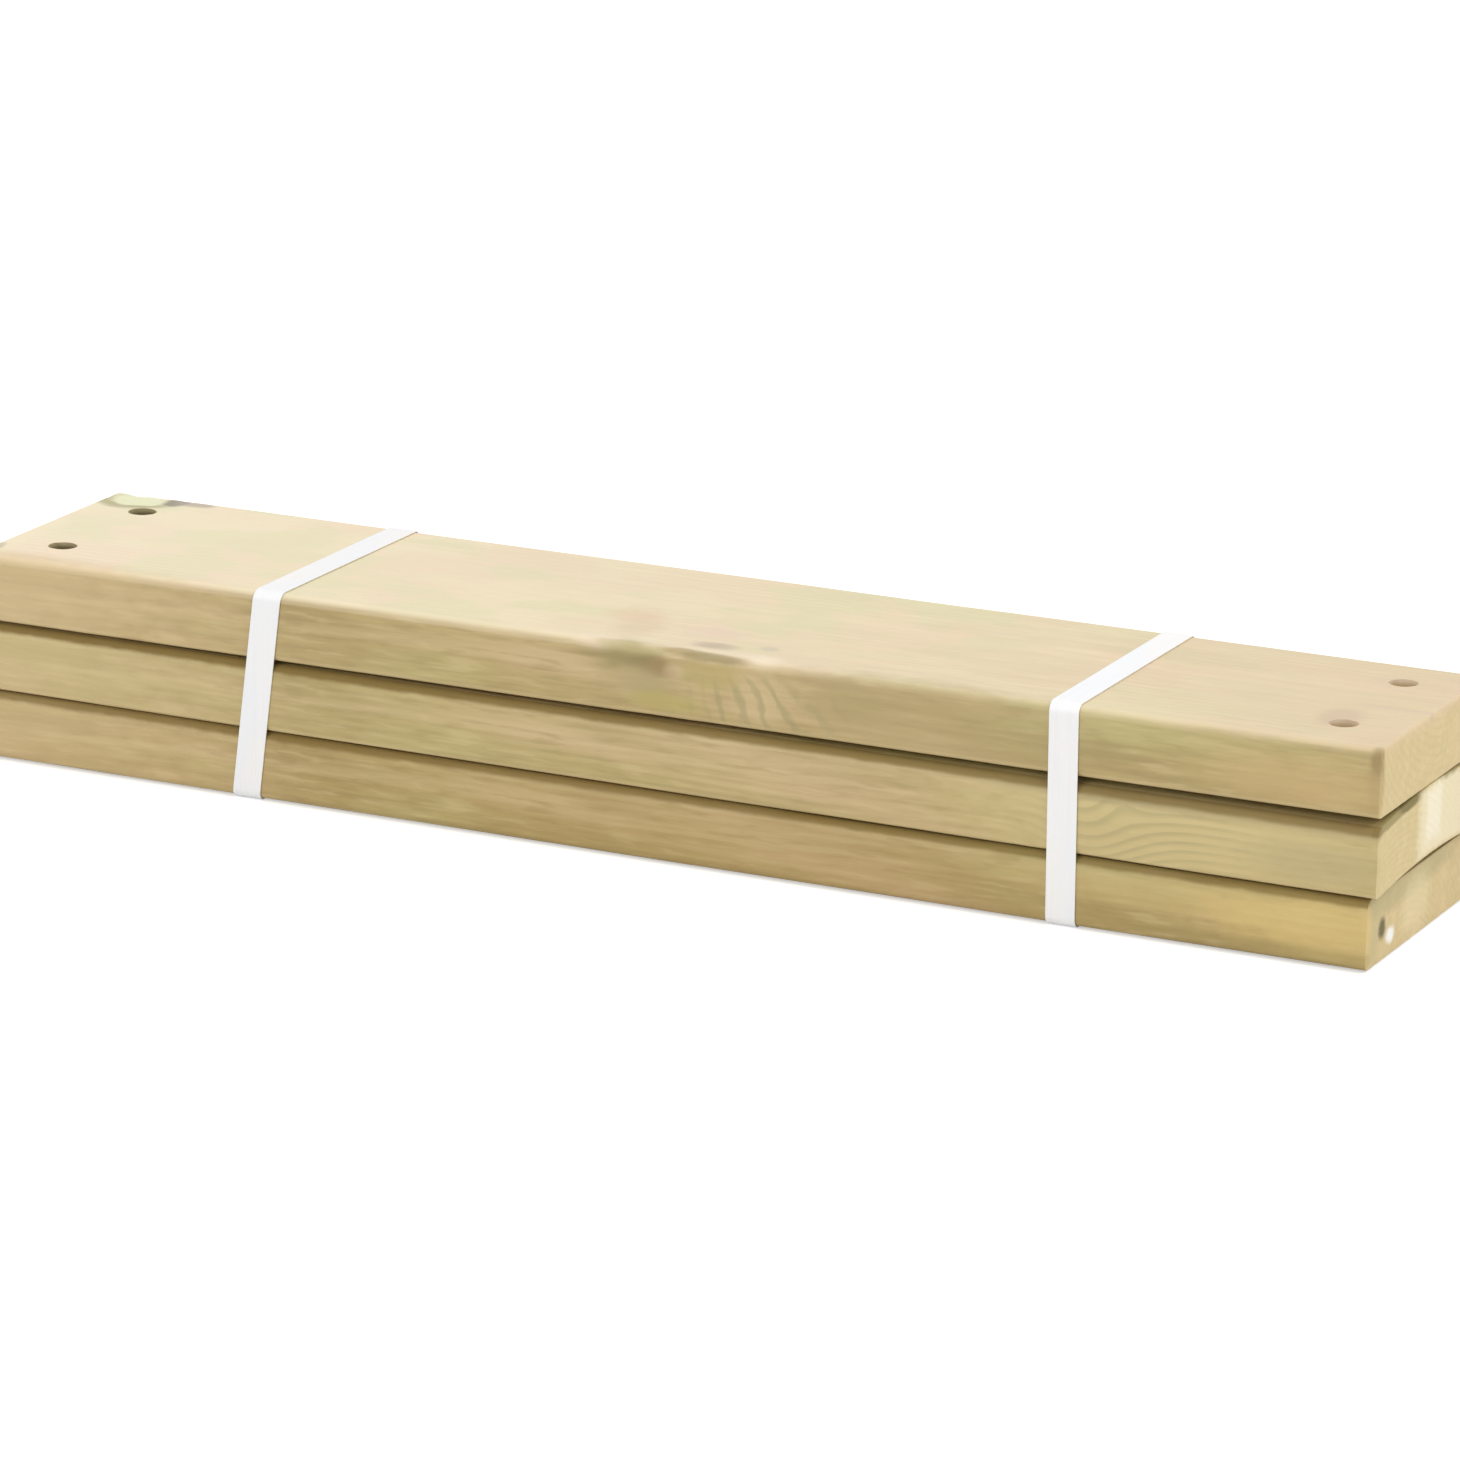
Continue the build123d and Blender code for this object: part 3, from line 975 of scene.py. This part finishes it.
def band_sheet(line, outward, foot_x, lean, weld=None):
    """A band's surface: a ring of points round its section at each point of its inner line."""
    travel = np.concatenate([[0], np.cumsum(np.linalg.norm(np.diff(line, axis=0), axis=1))])[:, None]
    share = np.linspace(-1, 1, ACROSS_CELLS + 1)
    across = np.concatenate([share, share[::-1]]) * STRAP_WIDTH / 2
    outer = np.repeat([1, 0], ACROSS_CELLS + 1)
    edge = np.where(np.abs(across) > STRAP_WIDTH / 2 * 0.99, BAND_EDGE, 0)
    inside = np.abs(across) < STRAP_WIDTH / 2 * EMBOSSED_SHARE
    waffle = np.sin(pi * (travel + across) / EMBOSS_PITCH) * np.sin(pi * (travel - across) / EMBOSS_PITCH)
    pressed = EMBOSS * (1 + waffle) * inside
    if weld:
        bars = ease(np.sin(2 * pi * travel / PRESS_PITCH), -0.2, 0.4)
        in_weld = (travel > weld[0]) & (travel < weld[1])
        pressed = np.where(in_weld & inside, PRESS_DEPTH * bars, pressed)
    rise = np.where(outer, STRAP_THICKNESS - edge - pressed, edge)
    if weld:
        # The cut ends are closed by bringing the two faces together just past them
        first = line[0] + BAND_EDGE * unit(line[0] - line[1])
        last = line[-1] + BAND_EDGE * unit(line[-1] - line[-2])
        line = np.concatenate([[first], line, [last]])
        outward = np.concatenate([outward[:1], outward, outward[-1:]])
        middle = np.full_like(rise[:1], STRAP_THICKNESS / 2)
        rise = np.concatenate([middle, rise, middle])
    y = line[:, :1] + outward[:, :1] * rise
    z = line[:, 1:] + outward[:, 1:] * rise
    x = foot_x + lean * z + across / cos(atan(lean))
    points = np.stack([x, y, z], -1)
    if not weld:
        points = np.concatenate([points, points[:1]])
    return sheet(np.concatenate([points, points[:, :1]], axis=1))


def make_strap(strap, material):
    low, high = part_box(strap.name)
    top_x = low.x + high.x - strap.foot_x
    lean = (top_x - strap.foot_x) / (high.z - low.z)
    loop = band_sheet(*loop_line(high.z - STRAP_THICKNESS), strap.foot_x, lean)
    weld = tuple(share * WELD_LENGTH for share in PRESSED_PART)
    tail = band_sheet(*tail_line(strap.weld_height), strap.foot_x, lean, weld)
    mesh = bpy.data.meshes.new(strap.name.replace("strap", "band"))
    shape = join([loop, tail])
    shape.to_mesh(mesh)
    shape.free()
    band = show(mesh, material, 50)
    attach(band, "root")
    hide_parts(strap.name)


# Camera, light and floor

def make_camera():
    back = Vector((
        sin(CAMERA_AZIMUTH) * cos(CAMERA_ELEVATION),
        -cos(CAMERA_AZIMUTH) * cos(CAMERA_ELEVATION),
        sin(CAMERA_ELEVATION),
    ))
    right = Vector((cos(CAMERA_AZIMUTH), sin(CAMERA_AZIMUTH), 0))
    up = back.cross(right)
    aim = Vector((0, 0, CAMERA_AIM_HEIGHT))
    place = back * CAMERA_DISTANCE + right * CAMERA_ASIDE - up * CAMERA_BELOW + aim
    rolled_right = right * cos(CAMERA_ROLL) + up * sin(CAMERA_ROLL)
    rolled_up = up * cos(CAMERA_ROLL) - right * sin(CAMERA_ROLL)
    lens = bpy.data.cameras.new("camera")
    lens.sensor_width = SENSOR_WIDTH
    lens.lens = FOCAL_PIXELS * SENSOR_WIDTH / PHOTO_WIDTH
    lens.clip_end = CLIP_END
    camera = bpy.data.objects.new("camera", lens)
    turned = Matrix((rolled_right, rolled_up, back)).transposed().to_4x4()
    camera.matrix_world = Matrix.Translation(place) @ turned
    bpy.context.scene.collection.objects.link(camera)
    bpy.context.scene.camera = camera


WORLD_LIGHT = 0.66
FLOOR_SIZE = 60
FLOOR_ALBEDO = 0.8
FLOOR_LIFT = 0.48  # added where the background is seen, so that the floor reads white


def background_rays(tree):
    """1 for a ray that shows the background: from the camera, or through a gloss or a clear surface."""
    path = tree.nodes.new("ShaderNodeLightPath")
    shown = tree.math("MAXIMUM", path.outputs["Is Camera Ray"], path.outputs["Is Glossy Ray"])
    return tree.math("MAXIMUM", shown, path.outputs["Is Transmission Ray"])


def make_world():
    world = bpy.data.worlds.new("studio")
    bpy.context.scene.world = world
    tree = Tree(world)
    strength = tree.nodes.new("ShaderNodeMapRange")
    strength.inputs["To Min"].default_value = WORLD_LIGHT
    strength.inputs["To Max"].default_value = 1
    tree.put(strength.inputs["Value"], background_rays(tree))
    background = tree.nodes.new("ShaderNodeBackground")
    background.inputs["Color"].default_value = colour(1, 1, 1)
    tree.put(background.inputs["Strength"], strength.outputs[0])
    output = tree.nodes.new("ShaderNodeOutputWorld")
    tree.links.new(background.outputs[0], output.inputs[0])


@dataclass
class Lamp:
    """A round soft lamp that points at the bundle."""

    name: str
    place: tuple
    size: float
    watts: float


LAMPS = [Lamp("key", (1.8, -0.1, 2.1), 1.6, 29), Lamp("fill", (-0.9, -2.2, 1.2), 1.6, 16)]


def make_lamp(lamp):
    light = bpy.data.lights.new(lamp.name, "AREA")
    light.shape = "DISK"
    light.size = lamp.size
    light.energy = lamp.watts
    holder = bpy.data.objects.new(lamp.name, light)
    holder.location = lamp.place
    holder.rotation_euler = Vector(lamp.place).to_track_quat("Z", "Y").to_euler()
    bpy.context.scene.collection.objects.link(holder)


def make_floor():
    half = FLOOR_SIZE / 2
    corners = [(-half, -half, 0), (half, -half, 0), (half, half, 0), (-half, half, 0)]
    mesh = bpy.data.meshes.new("floor")
    mesh.from_pydata(corners, [], [(0, 1, 2, 3)])
    floor = bpy.data.objects.new("floor", mesh)
    bpy.context.scene.collection.objects.link(floor)
    tree = Tree(bpy.data.materials.new("pale_floor"))
    shader = tree.nodes.new("ShaderNodeBsdfDiffuse")
    shader.inputs["Color"].default_value = colour(FLOOR_ALBEDO, FLOOR_ALBEDO, FLOOR_ALBEDO)
    glow = tree.nodes.new("ShaderNodeEmission")
    tree.put(glow.inputs["Strength"], tree.multiply(background_rays(tree), FLOOR_LIFT))
    total = tree.nodes.new("ShaderNodeAddShader")
    tree.links.new(shader.outputs[0], total.inputs[0])
    tree.links.new(glow.outputs[0], total.inputs[1])
    output = tree.nodes.new("ShaderNodeOutputMaterial")
    tree.links.new(total.outputs[0], output.inputs[0])
    mesh.materials.append(tree.owner)
    floor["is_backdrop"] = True


# Places along a plank between its holes, and the size of the cells between them
PLAIN_CELLS = ([], [3.2 * mm])
KNOT_CELLS = ([-60 * mm, 110 * mm], [3.4 * mm, 1.6 * mm, 3.4 * mm])
for plank in PLANKS:
    make_plank(plank, KNOT_CELLS if plank is TOP else PLAIN_CELLS)
white_strap = strap_material()
for strap in STRAPS:
    make_strap(strap, white_strap)
make_camera()
make_world()
for lamp in LAMPS:
    make_lamp(lamp)
make_floor()
bpy.context.scene.view_settings.view_transform = "Standard"

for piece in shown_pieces():
    print(piece.name, sum(len(face.vertices) - 2 for face in piece.data.polygons), "triangles")
